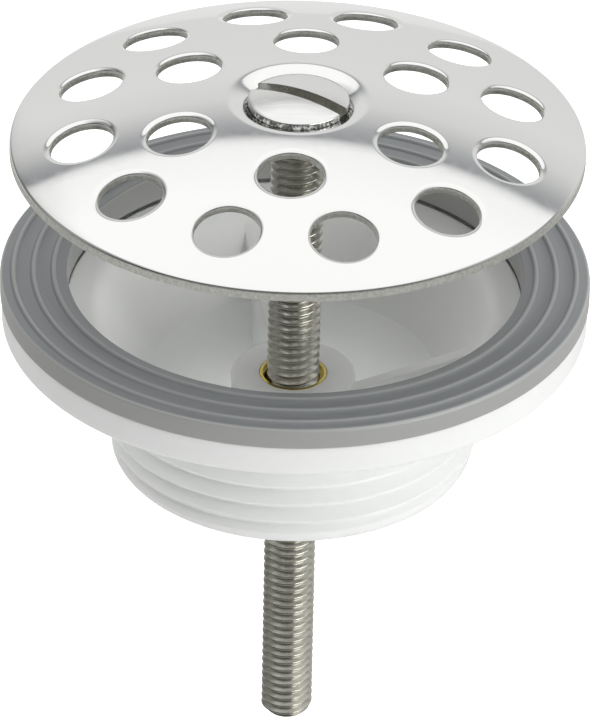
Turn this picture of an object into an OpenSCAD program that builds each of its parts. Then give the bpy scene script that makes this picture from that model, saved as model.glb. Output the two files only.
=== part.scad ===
// Basin waste with a strainer: a domed, perforated plate is drawn down by one long screw
// onto a threaded body, and the basin's floor is clamped between the plate and the seal.
// All sizes are in millimetres. +Z points up. The origin is the centre of the sealing
// plane, where the crests of the seal's ridges meet the underside of the basin.

/* [Strainer plate] */
// Diameter of the plate
plate_d = 63; // [58:0.5:80]
// Thickness of the sheet
plate_t = 1; // [0.8:0.05:1.5]
// Rise of the dome from the rim to where its crown would be without the dimple
dome_h = 5.7; // [4:0.1:8]
// Radius that the blanking leaves on the rim's upper edge
rim_round_r = 0.3; // [0.1:0.05:0.5]
// Height left for the basin's floor, from the seal's crests to the plate's rim
basin_gap = 15.1; // [6:0.1:20]
// Diameter of each drain hole
drain_d = 7.2; // [5:0.1:8]
// Radius of the rolled edge round each drain hole
drain_round_r = 0.4; // [0.2:0.05:0.6]
// Number of holes in the outer ring
outer_holes = 12; // [6:1:14]
// Diameter of the circle through the outer holes
outer_ring_d = 48.2; // [46:0.1:50]
// Number of holes in the inner ring
inner_holes = 6; // [3:1:6]
// Diameter of the circle through the inner holes
inner_ring_d = 29; // [28:0.1:30]
// Angle by which the whole hole pattern is turned about the screw
plate_angle = 12.2; // [0:0.1:30]

/* [Dimple for the screw head] */
// Diameter where the dome starts to curve down into the dimple
dimple_d = 16.4; // [15:0.1:17]
// Radius of the dimple's shoulder, on the upper side of the sheet
shoulder_r = 4; // [2.5:0.1:4.2]
// Radial clearance of the screw in the plate
plate_hole_gap = 0.35; // [0.2:0.05:0.6]
// Clearance between the head's cone and the dimple's cone
seat_gap = 0.05; // [0.02:0.01:0.1]

/* [Clamp screw] */
// Outside diameter of the screw's thread
screw_d = 5.85; // [5:0.05:6]
// Length from the head's upper edge to the tip
screw_len = 81.2; // [45:0.1:100]
// Diameter of the head
head_d = 11.1; // [9:0.1:12]
// Height of the head's straight edge
head_edge_h = 0.5; // [0.3:0.05:0.8]
// Rise of the head's crown above its edge
head_crown_h = 0.8; // [0.4:0.05:1.2]
// Width of the driver slot
slot_w = 1.6; // [1:0.1:2]
// Depth of the driver slot below the crown
slot_depth = 2; // [1.2:0.1:2.5]
// Angle of the driver slot, counted from the X axis
slot_angle = -28; // [-90:1:90]
// Chamfer on the screw's tip
tip_chamfer = 0.8; // [0.3:0.1:1.2]

/* [Threaded insert] */
// Outside diameter of the brass insert
insert_d = 7.6; // [7.2:0.1:8.5]
// Length of the insert
insert_len = 7.5; // [4:0.1:7.5]
// Radial clearance between the screw and the insert
thread_gap = 0.06; // [0.02:0.01:0.1]
// Width of the lead-in chamfer at each mouth of the insert
insert_chamfer = 0.45; // [0.2:0.05:0.5]
// Clearance between the insert and the boss
insert_gap = 0.02; // [0.01:0.01:0.05]

/* [Seal] */
// Width of the seal's ring, from its outer edge to its opening
seal_w = 7.45; // [7:0.05:8]
// Thickness of the seal between its ridges
seal_t = 2.25; // [1.5:0.05:4]
// Height of each sealing ridge
ridge_h = 0.45; // [0.2:0.05:0.8]
// Width of each ridge at its foot
ridge_w = 0.9; // [0.6:0.05:1.2]
// Width of each ridge's flat crest
crest_w = 0.3; // [0.1:0.05:0.5]
// Number of ridges
ridges = 3; // [2:1:3]
// Distance from either edge of the seal to the middle of the nearest ridge
ridge_inset = 1.5; // [1.2:0.05:1.8]
// Overhang of the seal past the flange
seal_proud = 0.15; // [0:0.05:0.5]
// Radius of the seal's outer edges
seal_round_r = 0.5; // [0.2:0.05:0.6]
// Width of the collar round the seal's opening, which drops into the flange
collar_w = 3.6; // [2.5:0.1:4.5]
// Depth of that collar below the flange's top
collar_h = 1.8; // [0.5:0.1:2]
// Clearance round the collar and under it
collar_gap = 0.2; // [0.1:0.05:0.3]

/* [Body] */
// Diameter of the flange
flange_d = 65; // [64:0.1:69]
// Thickness of the flange
flange_t = 3.7; // [3:0.1:6]
// Radius of the flange's lower edge
flange_round_r = 0.8; // [0.3:0.1:1.2]
// Width of the flat land left inside the seal
land_w = 2.1; // [0.3:0.1:2.5]
// Radius that leads from the land into the cup
mouth_round_r = 3; // [1:0.1:3.5]
// Depth of the boss's top, and of the cup's foot, below the flange's top
cup_depth = 11.1; // [10:0.1:12]
// Diameter of the outlet at the foot of the cup
outlet_d = 31.8; // [28:0.1:33]
// Narrowing of the outlet from there to its lower end, on the radius
outlet_taper = 1.7; // [0.2:0.1:2]
// Outside diameter of the spigot, over the crests of its G 1 1/4 thread
spigot_d = 41.9; // [41:0.1:44]
// Length of the spigot below the flange
spigot_len = 17.25; // [17:0.05:30]
// Height of the cone between the flange and the thread
neck_h = 4.6; // [4:0.1:6]
// Diameter of that cone where it leaves the flange
neck_d = 53; // [50:0.5:56]
// Length of the plain end below the thread
plain_len = 3.45; // [2:0.05:4.5]
// Amount by which the plain end is smaller than the thread, on the radius
plain_step = 0.6; // [0.3:0.05:1]
// Radius of the spigot's lower outside edge
end_round_r = 1.7; // [0.8:0.1:2.2]

/* [Boss and ribs] */
// Wall of the boss round the insert
boss_wall = 3.15; // [2:0.05:4]
// Thickness of the boss below the insert
boss_floor = 1.35; // [0.8:0.05:1.5]
// Radial clearance of the screw in the boss below the insert
boss_hole_gap = 0.5; // [0.3:0.05:1]
// Number of ribs that carry the boss
ribs = 3; // [2:1:4]
// Thickness of each rib
rib_t = 2.2; // [1.5:0.1:3]
// Angle of the first rib, counted from the X axis
rib_angle = -16; // [-60:1:60]
// Drop of each rib's top below the boss's top, where the two meet
rib_drop = 0.45; // [0.3:0.05:2]
// Slope of each rib's top, up towards the cup's wall
rib_slope = 29; // [15:0.5:30]

/* [Hidden] */
$fn = 128;
hole_fn = 48;
dome_fn = 360;
// angles between the points that stand for an arc: of a shoulder and of a small edge
arc_angle = 5;
edge_angle = 15;
// overshoot of a cutter
over = 1;

// plate
plate_r = plate_d / 2;
dome_r = (plate_r * plate_r + dome_h * dome_h) / (2 * dome_h);
// centre of the dome, which puts the rim's lower corner at the top of the basin's gap
dome_z = basin_gap - sqrt(pow(dome_r - plate_t, 2) - plate_r * plate_r);
rim_a = asin((plate_r - rim_round_r) / (dome_r - rim_round_r));
dimple_a = asin(dimple_d / 2 / dome_r);

// dimple: the shoulder's arc ends in a cone at 45 degrees, as under the screw's head
seat_a = 45;
shoulder_x = (dome_r - shoulder_r) * sin(dimple_a);
shoulder_z = dome_z + (dome_r - shoulder_r) * cos(dimple_a);
plate_hole_r = screw_d / 2 + plate_hole_gap;

// screw
screw_r = screw_d / 2;
head_r = head_d / 2;
// height at which the dimple's upper cone would meet the axis
cone_z = shoulder_z + shoulder_r * cos(seat_a) - (shoulder_x - shoulder_r * sin(seat_a)) * tan(seat_a);
head_low_z = cone_z + seat_gap / cos(seat_a) + head_r * tan(seat_a);
head_edge_z = head_low_z + head_edge_h;
crown_r = (head_r * head_r + head_crown_h * head_crown_h) / (2 * head_crown_h);
tip_z = head_edge_z - screw_len;

// seal
seal_top_z = -ridge_h;
flange_z = seal_top_z - seal_t;
flange_r = flange_d / 2;
seal_out_r = flange_r + seal_proud;
seal_in_r = seal_out_r - seal_w;
collar_r = seal_in_r + collar_w;
collar_z = flange_z - collar_h;
// the ridges stand evenly between the two edges
ridge_step = (seal_w - 2 * ridge_inset) / (ridges - 1);

// body
flange_low_z = flange_z - flange_t;
spigot_r = spigot_d / 2;
spigot_end_z = flange_low_z - spigot_len;
outlet_r = outlet_d / 2;
outlet_low_r = outlet_r - outlet_taper;
cup_z = flange_z - cup_depth;
// the rebate in the flange takes the seal's collar, and its floor runs on as the land
rebate_r = collar_r + collar_gap;
land_z = collar_z - collar_gap;
mouth_x = seal_in_r - land_w;
mouth_z = land_z - mouth_round_r;
// slope of the cup's wall, from the foot of the cup to the arc at its mouth
cup_run = mouth_x - outlet_r;
cup_rise = mouth_z - cup_z;
cup_a = asin(mouth_round_r / norm([cup_run, cup_rise])) + atan2(cup_rise, cup_run);
neck_z = flange_low_z - neck_h;
plain_z = spigot_end_z + plain_len;
plain_r = spigot_r - plain_step;

// boss and insert
insert_r = insert_d / 2;
insert_bore_r = screw_r + thread_gap;
insert_hole_r = insert_r + insert_gap;
boss_r = insert_hole_r + boss_wall;
boss_low_z = cup_z - insert_len - boss_floor;

// points on an arc about [x, z], from angle a to angle b, counted from +Z towards +X;
// first is 1 where the arc carries on from the point before it
function arc(x, z, r, a, b, step = arc_angle, first = 0) =
    let (n = max(1, ceil(abs(b - a) / step)))
    [for (i = [first : n]) let (t = a + (b - a) * i / n) [x + r * sin(t), z + r * cos(t)]];

// one side of the dimple's sheet, from the screw's hole out to the dome, at a depth below
// the upper side
function dimple_side(depth) =
    let (r = shoulder_r - depth,
         end_x = shoulder_x - r * sin(seat_a),
         end_z = shoulder_z + r * cos(seat_a))
    concat(
        [[plate_hole_r, end_z - (end_x - plate_hole_r) * tan(seat_a)]],
        arc(shoulder_x, shoulder_z, r, -seat_a, dimple_a));

// the points of a list in the other order
function reversed(p) = [for (i = [len(p) - 1 : -1 : 0]) p[i]];

// the dome: a shell of two spheres, cut round at the rim and open over the dimple
module dome() {
    difference() {
        intersection() {
            translate([0, 0, dome_z])
                difference() {
                    sphere(dome_r, $fn = dome_fn);
                    sphere(dome_r - plate_t, $fn = dome_fn);
                }
            cylinder(r = plate_r, h = dome_r);
        }
        cylinder(r = dimple_d / 2, h = dome_r);
        rim_cutter();
    }
}

// what the rounded edge of the rim leaves out
module rim_cutter() {
    round_x = (dome_r - rim_round_r) * sin(rim_a);
    round_z = dome_z + (dome_r - rim_round_r) * cos(rim_a);
    rotate_extrude()
        polygon(concat(
            arc(round_x, round_z, rim_round_r, rim_a, 90, edge_angle),
            [[plate_r + over, round_z], [plate_r + over, round_z + over],
             [round_x + (rim_round_r + over) * sin(rim_a), round_z + (rim_round_r + over) * cos(rim_a)]]));
}

// the dimple, pressed down to the screw's cone; a lap runs on into the middle of the dome's sheet
module dimple() {
    low_a = asin(dimple_d / 2 / (dome_r - plate_t));
    mid_r = dome_r - plate_t / 2;
    lap_a = asin((dimple_d / 2 + plate_t / 2) / mid_r);
    rotate_extrude()
        polygon(concat(
            dimple_side(0),
            [[mid_r * sin(lap_a), dome_z + mid_r * cos(lap_a)],
             [dimple_d / 2, dome_z + (dome_r - plate_t) * cos(low_a)]],
            reversed(dimple_side(plate_t))));
}

// a punched hole whose upper edge is rolled over, cut along the dome's own normal
module drain_cutter() {
    edge_r = drain_d / 2 + drain_round_r;
    // the dome falls away from a flat plane by this much at the hole's edge
    sag = edge_r * edge_r / (2 * dome_r);
    rotate_extrude($fn = hole_fn)
        polygon(concat(
            [[0, -plate_t - over], [drain_d / 2, -plate_t - over]],
            arc(edge_r, -sag - drain_round_r, drain_round_r, -90, 0, edge_angle),
            [[edge_r, over], [0, over]]));
}

module drain_ring(count, ring_d, turn) {
    for (i = [0 : count - 1])
        translate([0, 0, dome_z])
            rotate([0, asin(ring_d / 2 / dome_r), turn + i * 360 / count])
                translate([0, 0, dome_r])
                    drain_cutter();
}

module strainer_plate() {
    color([0.8, 0.81, 0.82])
    difference() {
        union() {
            dome();
            dimple();
        }
        drain_ring(outer_holes, outer_ring_d, plate_angle);
        drain_ring(inner_holes, inner_ring_d, plate_angle + 180 / outer_holes);
    }
}

module clamp_screw() {
    cap_a = asin(head_r / crown_r);
    crown_z = head_edge_z + head_crown_h;
    color([0.62, 0.61, 0.57])
    difference() {
        rotate_extrude()
            polygon(concat(
                [[0, tip_z], [screw_r - tip_chamfer, tip_z], [screw_r, tip_z + tip_chamfer],
                 [screw_r, head_low_z - (head_r - screw_r) * tan(seat_a)], [head_r, head_low_z]],
                arc(0, crown_z - crown_r, crown_r, cap_a, 0)));
        rotate([0, 0, slot_angle])
            translate([-head_r - over, -slot_w / 2, crown_z - slot_depth])
                cube([head_d + 2 * over, slot_w, slot_depth + over]);
    }
}

// the four upper corners of one ridge, from its inner foot to its outer foot
function ridge(r) = [
    [r - ridge_w / 2, seal_top_z],
    [r - crest_w / 2, 0],
    [r + crest_w / 2, 0],
    [r + ridge_w / 2, seal_top_z]];

module seal_ring() {
    color([0.42, 0.44, 0.45])
    rotate_extrude()
        polygon(concat(
            [[seal_in_r, collar_z], [seal_in_r, seal_top_z]],
            [for (i = [0 : ridges - 1]) each ridge(seal_in_r + ridge_inset + i * ridge_step)],
            arc(seal_out_r - seal_round_r, seal_top_z - seal_round_r, seal_round_r, 0, 90, edge_angle),
            [[seal_out_r, flange_z], [collar_r, flange_z], [collar_r, collar_z]]));
}

// the body's outside: flange, neck, thread crests and plain end
module body_outside() {
    rotate_extrude()
        polygon(concat(
            [[0, flange_z], [flange_r, flange_z]],
            arc(flange_r - flange_round_r, flange_low_z + flange_round_r, flange_round_r,
                90, 180, edge_angle),
            [[neck_d / 2, flange_low_z], [spigot_r, neck_z], [spigot_r, plain_z], [plain_r, plain_z]],
            arc(plain_r - end_round_r, spigot_end_z + end_round_r, end_round_r, 90, 180, edge_angle),
            [[0, spigot_end_z]]));
}

// the body's inside: the rebate and the land, a cup that narrows to the outlet, and the
// outlet, which tapers on to its lower end
module body_inside() {
    rotate_extrude()
        polygon(concat(
            [[0, spigot_end_z - over], [outlet_low_r, spigot_end_z - over],
             [outlet_low_r, spigot_end_z], [outlet_r, cup_z]],
            arc(mouth_x, mouth_z, mouth_round_r, -cup_a, 0),
            [[rebate_r, land_z], [rebate_r, flange_z + over], [0, flange_z + over]]));
}

module rib_side() {
    // the rib ends inside the cup's wall, half way along the arc at the mouth
    out_r = mouth_x - mouth_round_r * sin(cup_a / 2);
    wall_z = mouth_z + mouth_round_r * cos(cup_a / 2);
    root_z = cup_z - rib_drop;
    out_z = min(wall_z - rib_drop, root_z + (out_r - boss_r) * tan(rib_slope));
    polygon([
        [insert_r, boss_low_z],
        [out_r, boss_low_z],
        [out_r, out_z],
        [boss_r, root_z],
        [insert_r, root_z]]);
}

module rib_set() {
    for (i = [0 : ribs - 1])
        rotate([90, 0, rib_angle + i * 360 / ribs])
            translate([0, 0, -rib_t / 2])
                linear_extrude(rib_t)
                    rib_side();
}

module waste_body() {
    color([0.93, 0.93, 0.92])
    difference() {
        union() {
            difference() {
                body_outside();
                body_inside();
            }
            intersection() {
                rib_set();
                body_outside();
            }
            translate([0, 0, boss_low_z])
                cylinder(r = boss_r, h = cup_z - boss_low_z);
        }
        translate([0, 0, cup_z - insert_len])
            cylinder(r = insert_hole_r, h = insert_len + over);
        translate([0, 0, boss_low_z - over])
            cylinder(r = screw_r + boss_hole_gap, h = cup_z - boss_low_z + 2 * over);
    }
}

module threaded_insert() {
    mouth_r = insert_bore_r + insert_chamfer;
    low_z = cup_z - insert_len;
    color([0.72, 0.6, 0.22])
    rotate_extrude()
        polygon([
            [insert_r, low_z],
            [insert_r, cup_z],
            [mouth_r, cup_z],
            [insert_bore_r, cup_z - insert_chamfer],
            [insert_bore_r, low_z + insert_chamfer],
            [mouth_r, low_z]]);
}

strainer_plate();
clamp_screw();
seal_ring();
waste_body();
threaded_insert();
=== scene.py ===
"""A clamp-on basin waste on a white studio ground: a pressed, polished strainer plate, one long
machine screw, a ribbed rubber seal, and a white moulded body with a threaded spigot and a
brass insert. Heights and radii are written in millimetres, in the frame of the CAD part."""

from math import asin, atan2, cos, hypot, pi, radians, sin, sqrt, tan, tau

import bpy
from mathutils import Matrix, Vector


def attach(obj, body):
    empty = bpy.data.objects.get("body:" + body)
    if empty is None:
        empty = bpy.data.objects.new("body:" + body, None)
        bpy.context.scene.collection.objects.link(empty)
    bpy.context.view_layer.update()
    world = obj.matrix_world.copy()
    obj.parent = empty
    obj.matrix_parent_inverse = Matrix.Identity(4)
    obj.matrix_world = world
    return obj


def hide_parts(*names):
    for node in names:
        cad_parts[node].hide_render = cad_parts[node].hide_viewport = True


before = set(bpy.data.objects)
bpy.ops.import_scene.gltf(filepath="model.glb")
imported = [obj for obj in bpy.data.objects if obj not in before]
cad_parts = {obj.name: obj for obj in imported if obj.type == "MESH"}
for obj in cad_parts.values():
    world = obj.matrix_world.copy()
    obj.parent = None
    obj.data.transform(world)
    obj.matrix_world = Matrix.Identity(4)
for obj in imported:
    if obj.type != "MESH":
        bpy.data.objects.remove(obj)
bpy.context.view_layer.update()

mm = 0.001
weld = 0.002 * mm

# the strainer plate
plate_r = 31.5
plate_t = 1.0
dome_h = 5.7
basin_gap = 15.1
rim_round_r = 0.45
drain_r = 3.6
drain_round_w = 0.7
drain_round_h = 0.28
outer_holes = 12
outer_ring_r = 24.1
inner_holes = 6
inner_ring_r = 14.5
plate_angle = 12.2
dimple_r = 8.2
shoulder_r = 4.0
plate_hole_r = 3.275
dome_r = (plate_r ** 2 + dome_h ** 2) / (2 * dome_h)
dome_z = basin_gap - sqrt((dome_r - plate_t) ** 2 - plate_r ** 2)
dimple_a = asin(dimple_r / dome_r)
shoulder_x = (dome_r - shoulder_r) * sin(dimple_a)
shoulder_z = dome_z + (dome_r - shoulder_r) * cos(dimple_a)
seat_a = radians(45)
cone_z = shoulder_z + shoulder_r * cos(seat_a) - (shoulder_x - shoulder_r * sin(seat_a))
lip_out_r = 8.05
lip_r = 2.2
lip_a = radians(14)
lip_dome_a = asin(lip_out_r / dome_r)
lip_x = (dome_r - lip_r) * sin(lip_dome_a)
lip_z = dome_z + (dome_r - lip_r) * cos(lip_dome_a)
lip_turn = cos(lip_a) + sin(lip_a)
bowl_r = (cone_z - lip_z + lip_x - lip_r * lip_turn) / (sqrt(2) - lip_turn)
bowl_x = lip_x + (bowl_r - lip_r) * sin(lip_a)
bowl_z = lip_z - (bowl_r - lip_r) * cos(lip_a)

# the screw
screw_r = 2.925
screw_len = 81.2
screw_pitch = 1.0
screw_root_r = 2.36
head_r = 5.55
head_edge_h = 0.5
head_crown_h = 0.8
slot_w = 1.6
slot_depth = 2.0
slot_angle = -28
tip_chamfer = 0.8
seat_gap = 0.05
head_low_z = cone_z + seat_gap / cos(seat_a) + head_r
head_edge_z = head_low_z + head_edge_h
crown_z = head_edge_z + head_crown_h
tip_z = head_edge_z - screw_len

# the seal
ridge_h = 0.45
ridge_show_h = 0.3
ridge_w = 0.84
crest_w = 0.26
ridges = 3
seal_t = 2.25
seal_in_r = 25.2
seal_out_r = 32.65
ridge_inset = 1.5
seal_round_r = 0.5
collar_r = 28.8
collar_h = 0.95
collar_gap = 0.45
land_rise = 0.6
groove_h = 1.1
ridge_step = (seal_out_r - seal_in_r - 2 * ridge_inset) / (ridges - 1)

# the body
flange_z = -ridge_h - seal_t
flange_r = 32.5
flange_low_z = flange_z - 3.7
flange_round_r = 0.8
collar_z = flange_z - collar_h
rebate_r = collar_r + 0.2
land_z = collar_z - collar_gap
mouth_x = 23.1
mouth_round_r = 3.0
mouth_z = land_z - land_rise - mouth_round_r
cup_z = flange_z - 11.1
outlet_r = 15.9
cup_a = (asin(mouth_round_r / hypot(mouth_x - outlet_r, mouth_z - cup_z))
         + atan2(mouth_z - cup_z, mouth_x - outlet_r))
outlet_low_r = 13.85
spigot_r = 20.95
spigot_pitch = 2.309
groove_r = 19.6
crest_low_z = -20.22
groove_turns = 5
neck_r = 26.5
neck_z = flange_low_z - 4.6
spigot_end_z = flange_low_z - 17.25
plain_z = spigot_end_z + 3.45
plain_r = 20.35
end_round_r = 1.7
boss_r = 6.97
boss_low_z = -22.65
boss_hole_r = 3.425
ribs = 3
rib_t = 2.2
rib_angle = -16
rib_drop = 0.45
rib_slope = radians(29)

# the insert
insert_r = 3.8
insert_bore_r = 2.985
insert_low_z = cup_z - 7.5
insert_chamfer = 0.45


def arc(x, z, r, start, end, count):
    """Points on an arc about (x, z), from one angle to another, counted from +Z towards +X."""
    turns = [start + (end - start) * i / count for i in range(count + 1)]
    return [(x + r * sin(t), z + r * cos(t)) for t in turns]


def deselect():
    bpy.ops.object.select_all(action="DESELECT")


def edit(obj):
    deselect()
    obj.select_set(True)
    bpy.context.view_layer.objects.active = obj
    bpy.ops.object.mode_set(mode="EDIT")
    bpy.ops.mesh.select_mode(type="VERT")
    bpy.ops.mesh.select_all(action="SELECT")


def leave_edit():
    bpy.ops.object.mode_set(mode="OBJECT")


def draw(name, points):
    """A wire in the XZ plane: one vertex, extruded from point to point."""
    deselect()
    bpy.ops.mesh.primitive_plane_add(size=mm)
    obj = bpy.context.object
    obj.name = name
    obj.data.name = name
    bpy.ops.object.mode_set(mode="EDIT")
    bpy.ops.mesh.select_mode(type="VERT")
    bpy.ops.mesh.select_all(action="SELECT")
    bpy.ops.mesh.merge(type="CENTER")
    x, z = points[0]
    bpy.ops.transform.translate(value=(x * mm, 0, z * mm))
    for (xa, za), (xb, zb) in zip(points, points[1:]):
        step = ((xb - xa) * mm, 0, (zb - za) * mm)
        bpy.ops.mesh.extrude_region_move(TRANSFORM_OT_translate={"value": step})
    leave_edit()
    return obj


def turn(name, points, steps):
    """A turned solid: the wire is spun round the Z axis."""
    obj = draw(name, points)
    edit(obj)
    bpy.ops.mesh.spin(steps=steps, angle=tau, center=(0, 0, 0), axis=(0, 0, 1))
    bpy.ops.mesh.select_all(action="SELECT")
    bpy.ops.mesh.remove_doubles(threshold=weld)
    bpy.ops.mesh.normals_make_consistent(inside=False)
    leave_edit()
    return obj


def copy_of(obj, name):
    twin = obj.copy()
    twin.data = obj.data.copy()
    twin.name = name
    bpy.context.scene.collection.objects.link(twin)
    return twin


def settle(obj):
    """Puts an object's place and turn into its mesh."""
    deselect()
    obj.select_set(True)
    bpy.context.view_layer.objects.active = obj
    bpy.ops.object.transform_apply(location=True, rotation=True, scale=True)


def join(objs):
    deselect()
    for obj in objs:
        obj.select_set(True)
    bpy.context.view_layer.objects.active = objs[0]
    bpy.ops.object.join()
    return objs[0]


def apply_all(obj):
    deselect()
    obj.select_set(True)
    bpy.context.view_layer.objects.active = obj
    for modifier in list(obj.modifiers):
        bpy.ops.object.modifier_apply(modifier=modifier.name)


def combine(obj, other, operation):
    modifier = obj.modifiers.new(operation.lower(), "BOOLEAN")
    modifier.operation = operation
    modifier.solver = "EXACT"
    modifier.object = other
    apply_all(obj)
    bpy.data.objects.remove(other)


def smooth(obj, angle):
    deselect()
    obj.select_set(True)
    bpy.context.view_layer.objects.active = obj
    bpy.ops.object.shade_smooth_by_angle(angle=radians(angle))


def keep_sharp(obj, r, z):
    """Marks the ring of edges at one radius and height as sharp."""
    edit(obj)
    bpy.ops.mesh.select_all(action="DESELECT")
    leave_edit()
    for e in obj.data.edges:
        ends = [obj.data.vertices[i].co / mm for i in e.vertices]
        e.select = all(abs(hypot(c.x, c.y) - r) < 0.02 and abs(c.z - z) < 0.02 for c in ends)
    bpy.ops.object.mode_set(mode="EDIT")
    bpy.ops.mesh.select_mode(type="EDGE")
    bpy.ops.mesh.mark_sharp()
    leave_edit()


# the strainer plate

def dimple_side(depth, count):
    """One side of the sheet in the dimple: cone, wide bowl and a tighter lip at the dome."""
    end_x = bowl_x - (bowl_r - depth) * sin(seat_a)
    end_z = bowl_z + (bowl_r - depth) * cos(seat_a)
    start = (plate_hole_r, end_z - (end_x - plate_hole_r))
    bowl = arc(bowl_x, bowl_z, bowl_r - depth, -seat_a, -lip_a, count)
    lip = arc(lip_x, lip_z, lip_r - depth, -lip_a, lip_dome_a, count)
    return [start] + bowl + lip[1:]


def dome_side(r, end_a, count):
    """One side of the dome's sheet, from the dimple to an angle near the rim."""
    start_a = lip_dome_a
    return arc(0, dome_z, r, start_a, end_a, count)[1:]


def sheet_profile():
    rim_a = asin((plate_r - rim_round_r) / (dome_r - rim_round_r))
    round_x = (dome_r - rim_round_r) * sin(rim_a)
    round_z = dome_z + (dome_r - rim_round_r) * cos(rim_a)
    low_r = dome_r - plate_t
    low_rim_a = asin(plate_r / low_r)
    upper = dimple_side(0, 14) + dome_side(dome_r, rim_a, 30)
    rim = arc(round_x, round_z, rim_round_r, rim_a, pi / 2, 8)[1:]
    lower = dimple_side(plate_t, 10) + dome_side(low_r, low_rim_a, 24)
    points = upper + rim + lower[::-1]
    return points + points[:1]


def drain_cutter():
    """A punch whose upper end is flared, so that the hole gets a rolled upper edge."""
    edge_r = drain_r + drain_round_w
    sag = edge_r ** 2 / (2 * dome_r)
    flare = [(edge_r + drain_round_w * x, drain_round_h * (z - 1) - sag)
             for x, z in arc(0, 0, 1, -pi / 2, 0, 8)]
    points = [(0, -3), (drain_r, -3)] + flare + [(edge_r, 2), (0, 2)]
    return turn("punch", points, 64)


def drain_cutters():
    cutters = []
    rings = [
        (outer_holes, outer_ring_r, plate_angle),
        (inner_holes, inner_ring_r, plate_angle + 180 / outer_holes)]
    punch = drain_cutter()
    for count, ring_r, first in rings:
        for i in range(count):
            twin = copy_of(punch, "punch_copy")
            lean = Matrix.Rotation(asin(ring_r / dome_r), 4, "Y")
            spot = Matrix.Rotation(radians(first + i * 360 / count), 4, "Z")
            centre = Matrix.Translation((0, 0, dome_z * mm))
            out = Matrix.Translation((0, 0, dome_r * mm))
            twin.matrix_world = centre @ spot @ lean @ out
            settle(twin)
            cutters.append(twin)
    bpy.data.objects.remove(punch)
    return join(cutters)


def pressed_plate():
    plate = turn("pressed_plate", sheet_profile(), 256)
    smooth(plate, 30)
    true_sheet = copy_of(plate, "true_sheet")
    combine(plate, drain_cutters(), "DIFFERENCE")
    smooth(plate, 30)
    keep_sheet_normals(plate, true_sheet)
    return plate


def keep_sheet_normals(plate, true_sheet):
    """The punched sheet takes the normals of the unpunched one, so that its mirror stays clean."""
    group = plate.vertex_groups.new(name="sheet")
    centre = Vector((0, 0, dome_z * mm))
    for v in plate.data.vertices:
        off = (v.co - centre).length / mm
        out = hypot(v.co.x, v.co.y) / mm
        on_side = min(abs(off - dome_r), abs(off - dome_r + plate_t)) < 0.01
        if on_side and lip_out_r < out < plate_r - rim_round_r:
            group.add([v.index], 1, "REPLACE")
    modifier = plate.modifiers.new("normals", "DATA_TRANSFER")
    modifier.object = true_sheet
    modifier.use_loop_data = True
    modifier.data_types_loops = {"CUSTOM_NORMAL"}
    modifier.loop_mapping = "POLYINTERP_NEAREST"
    modifier.vertex_group = "sheet"
    apply_all(plate)
    plate.vertex_groups.clear()
    bpy.data.objects.remove(true_sheet)


# the screw

def screw_thread(low_z, high_z):
    """A tube with a right-hand thread, longer than the part of it that is used."""
    depth = screw_r - screw_root_r
    flank = depth * tan(radians(30))
    crest = screw_pitch / 8
    root = screw_pitch - crest - 2 * flank
    r0 = screw_root_r
    z = 0
    points = [
        (r0 + 0.05, z),
        (r0, z + root * 0.3),
        (r0, z + root * 0.7),
        (r0 + 0.05, z + root),
        (screw_r - 0.03, z + root + flank),
        (screw_r, z + root + flank + crest / 2),
        (screw_r - 0.03, z + root + flank + crest),
        (r0 + 0.05, z + screw_pitch)]
    tube = draw("thread", [(x, h + low_z) for x, h in points])
    turns = round((high_z - low_z) / screw_pitch)
    wind(tube, screw_pitch, turns, 48)
    cap_ends(tube)
    return tube


def wind(obj, pitch, turns, steps):
    """Sweeps a wire along a right-hand helix."""
    modifier = obj.modifiers.new("wind", "SCREW")
    modifier.axis = "Z"
    modifier.angle = tau
    modifier.screw_offset = pitch * mm
    modifier.iterations = turns
    modifier.steps = steps
    modifier.render_steps = steps
    modifier.use_merge_vertices = False
    apply_all(obj)
    edit(obj)
    bpy.ops.mesh.remove_doubles(threshold=weld)
    leave_edit()


def cap_ends(obj):
    """Draws each open end together into a point on the axis."""
    edit(obj)
    bpy.ops.mesh.select_mode(type="VERT")
    bpy.ops.mesh.select_all(action="DESELECT")
    bpy.ops.mesh.select_non_manifold(use_wire=False, use_multi_face=False, use_non_contiguous=False, use_verts=False)
    leave_edit()
    middle = sum((v.co.z for v in obj.data.vertices), 0) / len(obj.data.vertices)
    open_rim = [v.index for v in obj.data.vertices if v.select]
    for keep_low in (True, False):
        for v in obj.data.vertices:
            v.select = False
        for e in obj.data.edges:
            e.select = False
        for f in obj.data.polygons:
            f.select = False
        chosen = [i for i in open_rim if (obj.data.vertices[i].co.z < middle) == keep_low]
        for i in chosen:
            obj.data.vertices[i].select = True
        bpy.context.view_layer.objects.active = obj
        bpy.ops.object.mode_set(mode="EDIT")
        bpy.ops.mesh.select_mode(type="EDGE")
        bpy.ops.mesh.extrude_edges_move()
        bpy.ops.mesh.merge(type="CENTER")
        leave_edit()
    edit(obj)
    bpy.ops.mesh.normals_make_consistent(inside=False)
    leave_edit()


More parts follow.
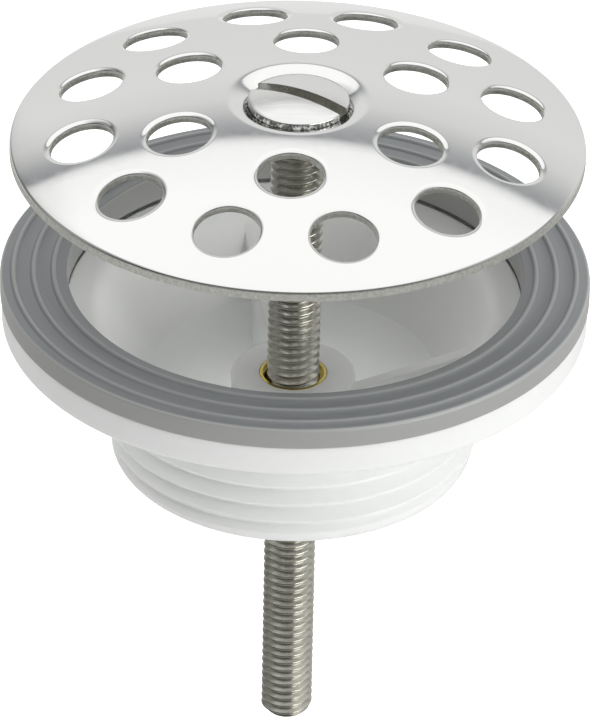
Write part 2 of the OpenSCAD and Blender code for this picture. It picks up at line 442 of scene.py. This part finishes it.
def machine_screw():
    cap_r = (head_r ** 2 + head_crown_h ** 2) / (2 * head_crown_h)
    cap_a = asin(head_r / cap_r)
    neck_low_z = head_low_z - (head_r - screw_root_r)
    head = turn("machine_screw", [
        (0, neck_low_z),
        (screw_root_r, neck_low_z),
        (head_r - 1.05, head_low_z - 1.05),
        (head_r - 0.05, head_low_z - 0.25),
        (head_r, head_low_z - 0.2),
        (head_r, head_edge_z - 0.12),
        (head_r - 0.04, head_edge_z - 0.03)]
        + arc(0, crown_z - cap_r, cap_r, cap_a * 0.98, 0, 10), 128)
    deselect()
    bpy.ops.mesh.primitive_cube_add(size=1, location=(0, 0, (crown_z - slot_depth + 2) * mm))
    blade = bpy.context.object
    blade.scale = (16 * mm, slot_w * mm, 4 * mm)
    blade.rotation_euler = (0, 0, radians(slot_angle))
    settle(blade)
    combine(head, blade, "DIFFERENCE")
    tube = screw_thread(tip_z - 1.3, neck_low_z + 1.2)
    blank = turn("blank", [
        (0, tip_z),
        (screw_r - tip_chamfer, tip_z),
        (screw_r + 0.4, tip_z + tip_chamfer + 0.4),
        (screw_r + 0.4, head_low_z),
        (0, head_low_z)], 96)
    combine(tube, blank, "INTERSECT")
    combine(head, tube, "UNION")
    smooth(head, 30)
    return head


# the seal

def ridge(r):
    """A low bead with a rounded crest, as high as the photo shows it over the flats."""
    soft = 0.05
    half = ridge_w / 2
    slope = (half - crest_w / 2) / ridge_show_h
    side = [(half + soft, -ridge_show_h), (half - soft * slope, soft - ridge_show_h),
            (crest_w / 2 + soft * slope, -soft), (crest_w / 4, 0)]
    return [(r - x, z) for x, z in side] + [(r + x, z) for x, z in reversed(side)]


def rubber_seal():
    top = -ridge_show_h
    soft = 0.22
    points = [(seal_in_r + 0.08, collar_z), (seal_in_r, collar_z + 0.08)]
    points += arc(seal_in_r + soft, top - soft, soft, -pi / 2, 0, 5)
    for i in range(ridges):
        points += ridge(seal_in_r + ridge_inset + i * ridge_step)
    points += arc(seal_out_r - seal_round_r, top - seal_round_r, seal_round_r, 0, pi / 2, 6)
    points += [(seal_out_r, flange_z + 0.1), (seal_out_r - 0.1, flange_z)]
    points += [(collar_r, flange_z), (collar_r, collar_z)]
    seal = turn("rubber_seal", points + points[:1], 256)
    smooth(seal, 35)
    return seal


# the body

def shell_profile():
    outside = [(flange_r - 0.1, flange_z), (flange_r, flange_z - 0.1)]
    outside += arc(flange_r - flange_round_r, flange_low_z + flange_round_r, flange_round_r,
                   pi / 2, pi, 6)
    outside += [(neck_r, flange_low_z), (spigot_r, neck_z), (spigot_r, plain_z + 0.3)]
    outside += [(plain_r, plain_z)]
    outside += arc(plain_r - end_round_r, spigot_end_z + end_round_r, end_round_r, pi / 2, pi, 8)
    inside = [(outlet_low_r + 0.08, spigot_end_z), (outlet_low_r, spigot_end_z + 0.08)]
    inside += [(outlet_r, cup_z)]
    inside += arc(mouth_x, mouth_z, mouth_round_r, -cup_a, 0, 12)
    inside += [(seal_in_r, land_z), (seal_in_r + 0.15, land_z - groove_h)]
    inside += [(rebate_r, land_z - groove_h), (rebate_r, flange_z)]
    points = outside + inside
    return points + points[:1]


def groove():
    """The cutter for the spigot's thread: a soft groove that starts and ends at the back."""
    half = spigot_pitch / 2
    crest = 0.12
    low = crest_low_z - half + crest - spigot_pitch * 0.5
    points = [
        (spigot_r + 0.6, -half + crest),
        (spigot_r + 0.02, -half + crest),
        (spigot_r - 0.12, -half + crest + 0.1),
        (groove_r + 0.35, -0.35),
        (groove_r + 0.08, -0.1),
        (groove_r, 0.15),
        (groove_r + 0.08, 0.4),
        (groove_r + 0.35, 0.6),
        (spigot_r - 0.12, half - crest - 0.06),
        (spigot_r + 0.02, half - crest),
        (spigot_r + 0.6, half - crest)]
    points.append(points[0])
    cutter = draw("groove", [(x, z + low) for x, z in points])
    edit(cutter)
    bpy.ops.mesh.remove_doubles(threshold=weld)
    leave_edit()
    wind(cutter, spigot_pitch, groove_turns, 96)
    for end_z in (low, low + groove_turns * spigot_pitch):
        run_out(cutter, end_z)
    edit(cutter)
    bpy.ops.mesh.select_mode(type="EDGE")
    bpy.ops.mesh.select_all(action="DESELECT")
    bpy.ops.mesh.select_non_manifold(use_wire=False, use_multi_face=False,
                                     use_non_contiguous=False, use_verts=False)
    bpy.ops.mesh.edge_face_add()
    bpy.ops.mesh.select_all(action="SELECT")
    bpy.ops.mesh.normals_make_consistent(inside=False)
    leave_edit()
    cutter.rotation_euler = (0, 0, pi / 2)
    settle(cutter)
    return cutter


def run_out(cutter, end_z):
    """Draws one end of the groove outwards, and what lies within reach of it less and less."""
    reach = 11
    lift = spigot_r + 0.8 - groove_r
    edit(cutter)
    bpy.ops.mesh.select_all(action="DESELECT")
    leave_edit()
    for v in cutter.data.vertices:
        x, y, z = (c / mm for c in v.co)
        v.select = abs(y) < 0.01 and x > 0 and abs(z - end_z) < spigot_pitch / 2
    bpy.ops.object.mode_set(mode="EDIT")
    bpy.ops.transform.translate(value=(lift * mm, 0, 0), use_proportional_edit=True,
                                use_proportional_connected=True, proportional_size=reach * mm,
                                proportional_edit_falloff="SMOOTH")
    leave_edit()


def rib_blade():
    deselect()
    bpy.ops.mesh.primitive_cube_add(size=1)
    blade = bpy.context.object
    root_z = cup_z - rib_drop
    out_r = mouth_x - mouth_round_r * sin(cup_a / 2)
    in_r = insert_r
    rise = (out_r - boss_r) * tan(rib_slope)
    for v in blade.data.vertices:
        far = v.co.x > 0
        top = v.co.z > 0
        side = rib_t / 2 if v.co.y > 0 else -rib_t / 2
        z = boss_low_z
        if top:
            z = root_z + rise if far else root_z - (boss_r - in_r) * tan(rib_slope)
        v.co = Vector(((out_r if far else in_r) * mm, side * mm, z * mm))
    edit(blade)
    bpy.ops.mesh.select_mode(type="EDGE")
    bpy.ops.mesh.select_all(action="DESELECT")
    leave_edit()
    for e in blade.data.edges:
        a, b = (blade.data.vertices[i].co for i in e.vertices)
        level = abs(a.y - b.y) < weld and abs(a.x - b.x) > mm
        e.select = level and min(a.z, b.z) > (boss_low_z + 1) * mm
    bpy.ops.object.mode_set(mode="EDIT")
    bpy.ops.mesh.bevel(offset=0.3 * mm, segments=3, affect="EDGES")
    leave_edit()
    return blade


def moulded_body():
    body = turn("moulded_body", shell_profile(), 192)
    combine(body, groove(), "DIFFERENCE")
    blade = rib_blade()
    blades = []
    for i in range(ribs):
        twin = copy_of(blade, "rib")
        twin.rotation_euler = (0, 0, radians(rib_angle + i * 360 / ribs))
        settle(twin)
        blades.append(twin)
    bpy.data.objects.remove(blade)
    boss = turn("boss", [
        (0, boss_low_z),
        (boss_r - 0.2, boss_low_z),
        (boss_r, boss_low_z + 0.2)]
        + arc(boss_r - 0.35, cup_z - 0.35, 0.35, pi / 2, 0, 5)
        + [(0, cup_z)], 96)
    for blade in blades:
        combine(boss, blade, "UNION")
    trim = turn("trim", [
        (0, boss_low_z - 1), (outlet_r + 1.5, boss_low_z - 1), (outlet_r + 1.5, cup_z),
        (mouth_x + 0.5, mouth_z), (mouth_x + 0.5, 0), (0, 0)], 128)
    combine(boss, trim, "INTERSECT")
    combine(body, boss, "UNION")
    bore = turn("bore", [
        (0, boss_low_z - 1), (boss_hole_r, boss_low_z - 1), (boss_hole_r, insert_low_z),
        (insert_r + 0.01, insert_low_z), (insert_r + 0.01, cup_z + 1), (0, cup_z + 1)], 96)
    combine(body, bore, "DIFFERENCE")
    edit(body)
    bpy.ops.mesh.remove_doubles(threshold=weld)
    bpy.ops.mesh.dissolve_degenerate(threshold=weld)
    leave_edit()
    keep_sharp(body, outlet_r, cup_z)
    smooth(body, 35)
    return body


def brass_insert():
    mouth_r = insert_bore_r + insert_chamfer
    insert = turn("brass_insert", [
        (insert_r, insert_low_z),
        (insert_r, cup_z - 0.08),
        (insert_r - 0.08, cup_z),
        (mouth_r, cup_z),
        (insert_bore_r, cup_z - insert_chamfer),
        (insert_bore_r, insert_low_z + insert_chamfer),
        (mouth_r, insert_low_z),
        (insert_r, insert_low_z)], 96)
    smooth(insert, 30)
    return insert


# materials

def new_material(name, colour, metallic, roughness):
    material = bpy.data.materials.new(name)
    material.use_nodes = True
    shader = material.node_tree.nodes["Principled BSDF"]
    shader.inputs["Base Color"].default_value = (*colour, 1)
    shader.inputs["Metallic"].default_value = metallic
    shader.inputs["Roughness"].default_value = roughness
    return material, shader


def add_node(material, kind, **settings):
    node = material.node_tree.nodes.new(kind)
    for key, value in settings.items():
        if key in node.inputs.keys():
            node.inputs[key].default_value = value
        else:
            setattr(node, key.lower().replace(" ", "_"), value)
    return node


def noise(material, scale, detail=2.0, rough=0.5):
    place = add_node(material, "ShaderNodeTexCoord")
    grain = add_node(material, "ShaderNodeTexNoise", Scale=scale, Detail=detail, Roughness=rough)
    material.node_tree.links.new(place.outputs["Object"], grain.inputs["Vector"])
    return grain.outputs["Fac"]


def ranged(material, value, low, high, from_low=0.3, from_high=0.7):
    spread = add_node(material, "ShaderNodeMapRange")
    spread.inputs["From Min"].default_value = from_low
    spread.inputs["From Max"].default_value = from_high
    spread.inputs["To Min"].default_value = low
    spread.inputs["To Max"].default_value = high
    material.node_tree.links.new(value, spread.inputs["Value"])
    return spread.outputs["Result"]


def bump(material, shader, layers):
    """Bumps laid over each other: each is (height, distance in mm, strength)."""
    last = None
    for height, distance, strength in layers:
        node = add_node(material, "ShaderNodeBump")
        node.inputs["Distance"].default_value = distance * mm
        node.inputs["Strength"].default_value = strength
        material.node_tree.links.new(height, node.inputs["Height"])
        if last:
            material.node_tree.links.new(last, node.inputs["Normal"])
        last = node.outputs["Normal"]
    material.node_tree.links.new(last, shader.inputs["Normal"])


def blend_colour(material, shader, value, dark, light):
    ramp = add_node(material, "ShaderNodeValToRGB")
    ramp.color_ramp.elements[0].color = (*dark, 1)
    ramp.color_ramp.elements[1].color = (*light, 1)
    material.node_tree.links.new(value, ramp.inputs["Fac"])
    material.node_tree.links.new(ramp.outputs["Color"], shader.inputs["Base Color"])


def polished_steel():
    material, shader = new_material("polished_steel", (0.768, 0.768, 0.757), 1, 0.06)
    rough = ranged(material, noise(material, 900), 0.05, 0.09)
    material.node_tree.links.new(rough, shader.inputs["Roughness"])
    bump(material, shader, [(noise(material, 45, 1.0), 0.05, 0.5)])
    return material


def sheared_steel():
    material, shader = new_material("sheared_steel", (0.6, 0.6, 0.56), 1, 0.42)
    # the sheared side and hole walls are painted paler than the polished face's steel: painted light in place of the
    # key lamp kept off the plate, over the sheared grain's random speckle
    blend_colour(material, shader, ranged(material, noise(material, 2600, 3), 0, 1),
                 (0.7, 0.7, 0.645), (0.93, 0.93, 0.87))
    bump(material, shader, [(noise(material, 4500), 0.05, 0.6)])
    return material


def turned_steel():
    """The screw's head: fine streaks from the lathe tool and the header."""
    material, shader = new_material("turned_steel", (0.74, 0.74, 0.725), 1, 0.2)
    place = add_node(material, "ShaderNodeTexCoord")
    stretch = add_node(material, "ShaderNodeMapping")
    stretch.inputs["Rotation"].default_value = (0, 0, radians(-20))
    stretch.inputs["Scale"].default_value = (250, 2200, 250)
    streaks = add_node(material, "ShaderNodeTexNoise", Scale=1.0, Detail=3.0)
    material.node_tree.links.new(place.outputs["Object"], stretch.inputs["Vector"])
    material.node_tree.links.new(stretch.outputs["Vector"], streaks.inputs["Vector"])
    rough = ranged(material, streaks.outputs["Fac"], 0.14, 0.3)
    material.node_tree.links.new(rough, shader.inputs["Roughness"])
    bump(material, shader, [(streaks.outputs["Fac"], 0.01, 0.35), (noise(material, 500), 0.01, 0.3)])
    return material


def rolled_steel():
    """The screw's thread and slot: duller and a little olive."""
    material, shader = new_material("rolled_steel", (0.56, 0.55, 0.49), 1, 0.25)
    blend_colour(material, shader, ranged(material, noise(material, 700, 3), 0, 1),
                 (0.44, 0.432, 0.375), (0.54, 0.53, 0.47))
    bump(material, shader, [(noise(material, 3500), 0.01, 0.5)])
    return material


def peened_steel():
    """The head's side: dark and speckled, as the tool left it."""
    material, shader = new_material("peened_steel", (0.4, 0.4, 0.38), 1, 0.3)
    blend_colour(material, shader, ranged(material, noise(material, 2600, 3), 0, 1, 0.45, 0.65),
                 (0.12, 0.12, 0.113), (0.8, 0.8, 0.77))
    bump(material, shader, [(noise(material, 3000, 3), 0.05, 0.8)])
    return material


def grey_rubber():
    """Matt grey rubber whose colour by height paints light and shade: paler sides, inner edge and crests are painted
    light and highlight, the dark band at each ridge's foot is painted shade.
    """
    material, shader = new_material("grey_rubber", (0.3, 0.31, 0.31), 0, 0.38)
    shader.inputs["Specular IOR Level"].default_value = 1
    place = add_node(material, "ShaderNodeTexCoord")
    split = add_node(material, "ShaderNodeSeparateXYZ")
    material.node_tree.links.new(place.outputs["Object"], split.inputs["Vector"])
    height = ranged(material, split.outputs["Z"], 0, 1, -1 * mm, 0)
    ramp = add_node(material, "ShaderNodeValToRGB")
    # painted light and shade by height: the sides and the inner edge's rounding (below -0.42 mm) are painted light,
    # -0.33 to -0.29 is the rubber's own grey, the dip near -0.24 at each ridge's foot is painted shade, and the
    # crests towards 0 are painted highlight
    painted_light_by_height = [(-0.7, (0.36, 0.365, 0.35)), (-0.5, (0.39, 0.4, 0.385)),
             (-0.42, (0.42, 0.43, 0.42)), (-0.33, (0.225, 0.237, 0.245)),
             (-0.29, (0.22, 0.232, 0.24)), (-0.24, (0.17, 0.18, 0.187)),
             (-0.13, (0.22, 0.232, 0.24)), (-0.01, (0.34, 0.35, 0.345))]
    stops = ramp.color_ramp.elements
    while len(stops) < len(painted_light_by_height):
        stops.new(0.5)
    for stop, (z, tint) in zip(stops, painted_light_by_height):
        stop.position = z + 1
        stop.color = (*tint, 1)
    material.node_tree.links.new(height, ramp.inputs["Fac"])
    material.node_tree.links.new(ramp.outputs["Color"], shader.inputs["Base Color"])
    bump(material, shader, [(noise(material, 5000), 0.02, 0.3)])
    return material


def white_plastic():
    material, shader = new_material("white_plastic", (0.9, 0.91, 0.895), 0, 0.38)
    shader.inputs["Subsurface Weight"].default_value = 0.3
    shader.inputs["Subsurface Radius"].default_value = (1.0, 1.0, 1.0)
    shader.inputs["Subsurface Scale"].default_value = mm
    bump(material, shader, [(noise(material, 2500), 0.01, 0.3)])
    return material


def turned_brass():
    material, shader = new_material("turned_brass", (0.66, 0.52, 0.16), 1, 0.25)
    bump(material, shader, [(noise(material, 4000), 0.01, 0.3)])
    return material


def finish_plate(plate):
    plate.data.materials.clear()
    plate.data.materials.append(polished_steel())
    plate.data.materials.append(sheared_steel())
    for face in plate.data.polygons:
        x, y, z = face.center
        out = hypot(x, y) / mm
        side = abs(face.normal.z) < 0.4 and out > lip_out_r
        if side:
            face.material_index = 1


def finish_screw(screw):
    """The head's turned outside is bright, the slot and the thread are duller."""
    screw.data.materials.clear()
    screw.data.materials.append(turned_steel())
    screw.data.materials.append(rolled_steel())
    screw.data.materials.append(peened_steel())
    slot_side = radians(slot_angle)
    for face in screw.data.polygons:
        x, y, z = face.center / mm
        across = abs(y * cos(slot_side) - x * sin(slot_side))
        in_slot = across < slot_w / 2 + 0.001 and z < head_edge_z + 0.3
        on_side = hypot(x, y) > head_r - 0.1 and z < head_edge_z - 0.1
        if in_slot or z < head_low_z - 0.23:
            face.material_index = 1
        elif on_side:
            face.material_index = 2


def dress(piece, node, material=None):
    if material:
        piece.data.materials.clear()
        piece.data.materials.append(material)
    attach(piece, "root")
    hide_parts(node)


# the studio

floor_z = -180
floor_glow = 0.6


def painted_floor_reflection(material, depth):
    """Painted reflection: what metal sees in the floor is an emission ramp along Y, dim in front of the camera, a
    painted shadow near the fitting, bright far behind.
    """
    along = ranged(material, depth, 0, 1, -1.5, 1.5)
    ramp = add_node(material, "ShaderNodeValToRGB")
    # the dip to 0.36 at y = 0 is the fitting's painted shadow in the reflected floor
    bands = [(-1.5, 0.1), (-0.6, 0.5), (-0.2, 0.55), (0, 0.36), (0.3, 0.5), (0.9, 0.9)]
    stops = ramp.color_ramp.elements
    while len(stops) < len(bands):
        stops.new(0.5)
    for stop, (y, level) in zip(stops, bands):
        stop.position = y / 3 + 0.5
        stop.color = (level, level, level, 1)
    material.node_tree.links.new(along, ramp.inputs["Fac"])
    return ramp.outputs["Color"]


def studio_floor():
    deselect()
    bpy.ops.mesh.primitive_circle_add(vertices=96, radius=6, fill_type="NGON",
                                      location=(0, 0, floor_z * mm))
    floor = bpy.context.object
    floor.name = "studio_floor"
    settle(floor)
    material, shader = new_material("floor_white", (0.88, 0.88, 0.88), 0, 0.8)
    tree = material.node_tree
    path = add_node(material, "ShaderNodeLightPath")
    lift = add_node(material, "ShaderNodeMath", operation="MAXIMUM")
    tree.links.new(path.outputs["Is Camera Ray"], lift.inputs[0])
    tree.links.new(path.outputs["Is Transmission Ray"], lift.inputs[1])
    glow = add_node(material, "ShaderNodeMath", operation="MULTIPLY")
    glow.inputs[1].default_value = floor_glow
    tree.links.new(lift.outputs[0], glow.inputs[0])
    shader.inputs["Emission Color"].default_value = (1, 1, 1, 1)
    tree.links.new(glow.outputs[0], shader.inputs["Emission Strength"])
    place = add_node(material, "ShaderNodeTexCoord")
    split = add_node(material, "ShaderNodeSeparateXYZ")
    tree.links.new(place.outputs["Object"], split.inputs["Vector"])
    mirrored = add_node(material, "ShaderNodeEmission")
    tree.links.new(painted_floor_reflection(material, split.outputs["Y"]), mirrored.inputs["Color"])
    by_gloss = add_node(material, "ShaderNodeMixShader")
    tree.links.new(path.outputs["Is Glossy Ray"], by_gloss.inputs["Fac"])
    tree.links.new(shader.outputs[0], by_gloss.inputs[1])
    tree.links.new(mirrored.outputs[0], by_gloss.inputs[2])
    tree.links.new(by_gloss.outputs[0], tree.nodes["Material Output"].inputs["Surface"])
    floor.data.materials.append(material)


def studio_world():
    """A tent: a bright top with a straight edge behind, dim walls and a dark front."""
    world = bpy.data.worlds.new("studio")
    bpy.context.scene.world = world
    world.use_nodes = True
    tree = world.node_tree
    tree.nodes.clear()
    out = tree.nodes.new("ShaderNodeOutputWorld")
    place = tree.nodes.new("ShaderNodeTexCoord")
    turned = tree.nodes.new("ShaderNodeMapping")
    turned.inputs["Rotation"].default_value = (0, 0, radians(8))
    split = tree.nodes.new("ShaderNodeSeparateXYZ")
    climb = tree.nodes.new("ShaderNodeMath")
    climb.operation = "ARCTAN2"
    share = tree.nodes.new("ShaderNodeMapRange")
    share.inputs["From Min"].default_value = -pi
    share.inputs["From Max"].default_value = pi
    ramp = tree.nodes.new("ShaderNodeValToRGB")
    tent = [(-180, 0.1, 0), (-90, 0.3, 0), (0, 0.82, 0), (24, 0.88, -0.004), (31, 0.82, -0.002),
            (34.5, 0.69, 0), (38, 0.5, 0.025), (41, 0.36, 0.035), (42.5, 1.16, 0), (55, 1.26, 0),
            (115, 1.2, 0), (132, 0.5, 0), (145, 0.1, 0), (180, 0.1, 0)]
    stops = ramp.color_ramp.elements
    while len(stops) < len(tent):
        stops.new(0.5)
    for stop, (climbed, level, blue) in zip(stops, tent):
        stop.position = climbed / 360 + 0.5
        stop.color = (level * (1 - blue), level, level * (1 + blue), 1)
    tree.links.new(place.outputs["Generated"], turned.inputs["Vector"])
    tree.links.new(turned.outputs["Vector"], split.inputs["Vector"])
    tree.links.new(split.outputs["Z"], climb.inputs[0])
    tree.links.new(split.outputs["Y"], climb.inputs[1])
    tree.links.new(climb.outputs[0], share.inputs["Value"])
    tree.links.new(share.outputs["Result"], ramp.inputs["Fac"])
    tent_light = tree.nodes.new("ShaderNodeBackground")
    tree.links.new(ramp.outputs["Color"], tent_light.inputs["Color"])
    aside = tree.nodes.new("ShaderNodeMapRange")
    aside.inputs["From Min"].default_value = -1
    ends = tree.nodes.new("ShaderNodeValToRGB")
    walls = [(-0.72, 0.28), (-0.45, 1), (0.5, 1), (0.9, 0.4)]
    stops = ends.color_ramp.elements
    while len(stops) < len(walls):
        stops.new(0.5)
    for stop, (x, level) in zip(stops, walls):
        stop.position = x / 2 + 0.5
        stop.color = (level, level, level, 1)
    tree.links.new(split.outputs["X"], aside.inputs["Value"])
    tree.links.new(aside.outputs["Result"], ends.inputs["Fac"])
    tree.links.new(ends.outputs["Color"], tent_light.inputs["Strength"])
    white = tree.nodes.new("ShaderNodeBackground")
    white.inputs["Color"].default_value = (1, 1, 1, 1)
    path = tree.nodes.new("ShaderNodeLightPath")
    by_camera = tree.nodes.new("ShaderNodeMixShader")
    tree.links.new(path.outputs["Is Camera Ray"], by_camera.inputs["Fac"])
    tree.links.new(tent_light.outputs[0], by_camera.inputs[1])
    tree.links.new(white.outputs[0], by_camera.inputs[2])
    tree.links.new(by_camera.outputs[0], out.inputs["Surface"])


def softbox(name, place, target, size, power, glossy):
    data = bpy.data.lights.new(name, "AREA")
    data.shape = "RECTANGLE"
    data.size = size[0]
    data.size_y = size[1]
    data.energy = power
    lamp = bpy.data.objects.new(name, data)
    bpy.context.scene.collection.objects.link(lamp)
    lamp.location = place
    lamp.rotation_euler = (Vector(target) - Vector(place)).to_track_quat("-Z", "Y").to_euler()
    lamp.visible_camera = False
    lamp.visible_glossy = glossy
    return lamp


def studio_lights():
    key = softbox("key", (0.525, -0.39, 0.17), (0, 0, 0), (0.7, 0.2), 2.1, True)
    softbox("front", (0.05, -0.62, 0.12), (0, 0, 0), (0.4, 0.2), 0.3, False)
    softbox("fill", (-0.46, 0.38, 0.16), (0, 0, 0), (0.4, 0.25), 0.9, False)
    return key


def keep_off(lamp, piece):
    """The lamp doesn't shine on this piece, so that no hot line runs along its rim."""
    unlit = bpy.data.collections.new("unlit_by_" + lamp.name)
    unlit.objects.link(piece)
    lamp.light_linking.receiver_collection = unlit
    unlit.collection_objects[0].light_linking.link_state = "EXCLUDE"


def studio_camera():
    """The camera stands in front of the fitting and looks down on it, turned a little."""
    lens = 311.3
    place = Vector((0, -586.56, 361.03)) * mm
    down = radians(32.470)
    pan = radians(0.024)
    roll = radians(1.173)
    right = Vector((1, 0, 0))
    ahead = Vector((0, cos(down), -sin(down)))
    up = Vector((0, sin(down), cos(down)))
    side = right * cos(pan) - ahead * sin(pan)
    look = ahead * cos(pan) + right * sin(pan)
    level = side * cos(roll) + up * sin(roll)
    top = up * cos(roll) - side * sin(roll)
    data = bpy.data.cameras.new("camera")
    data.sensor_fit = "VERTICAL"
    data.sensor_height = 36
    data.lens = lens
    data.clip_start = 0.05
    data.clip_end = 50
    camera = bpy.data.objects.new("camera", data)
    bpy.context.scene.collection.objects.link(camera)
    turned = Matrix((level, top, -look)).transposed().to_4x4()
    camera.matrix_world = Matrix.Translation(place) @ turned
    bpy.context.scene.camera = camera


studio_camera()
studio_world()
key = studio_lights()
studio_floor()
bpy.context.scene.view_settings.view_transform = "Standard"

plate = pressed_plate()
finish_plate(plate)
dress(plate, "strainer_plate")
keep_off(key, plate)
screw = machine_screw()
finish_screw(screw)
dress(screw, "clamp_screw")
dress(rubber_seal(), "seal_ring", grey_rubber())
dress(moulded_body(), "waste_body", white_plastic())
dress(brass_insert(), "threaded_insert", turned_brass())
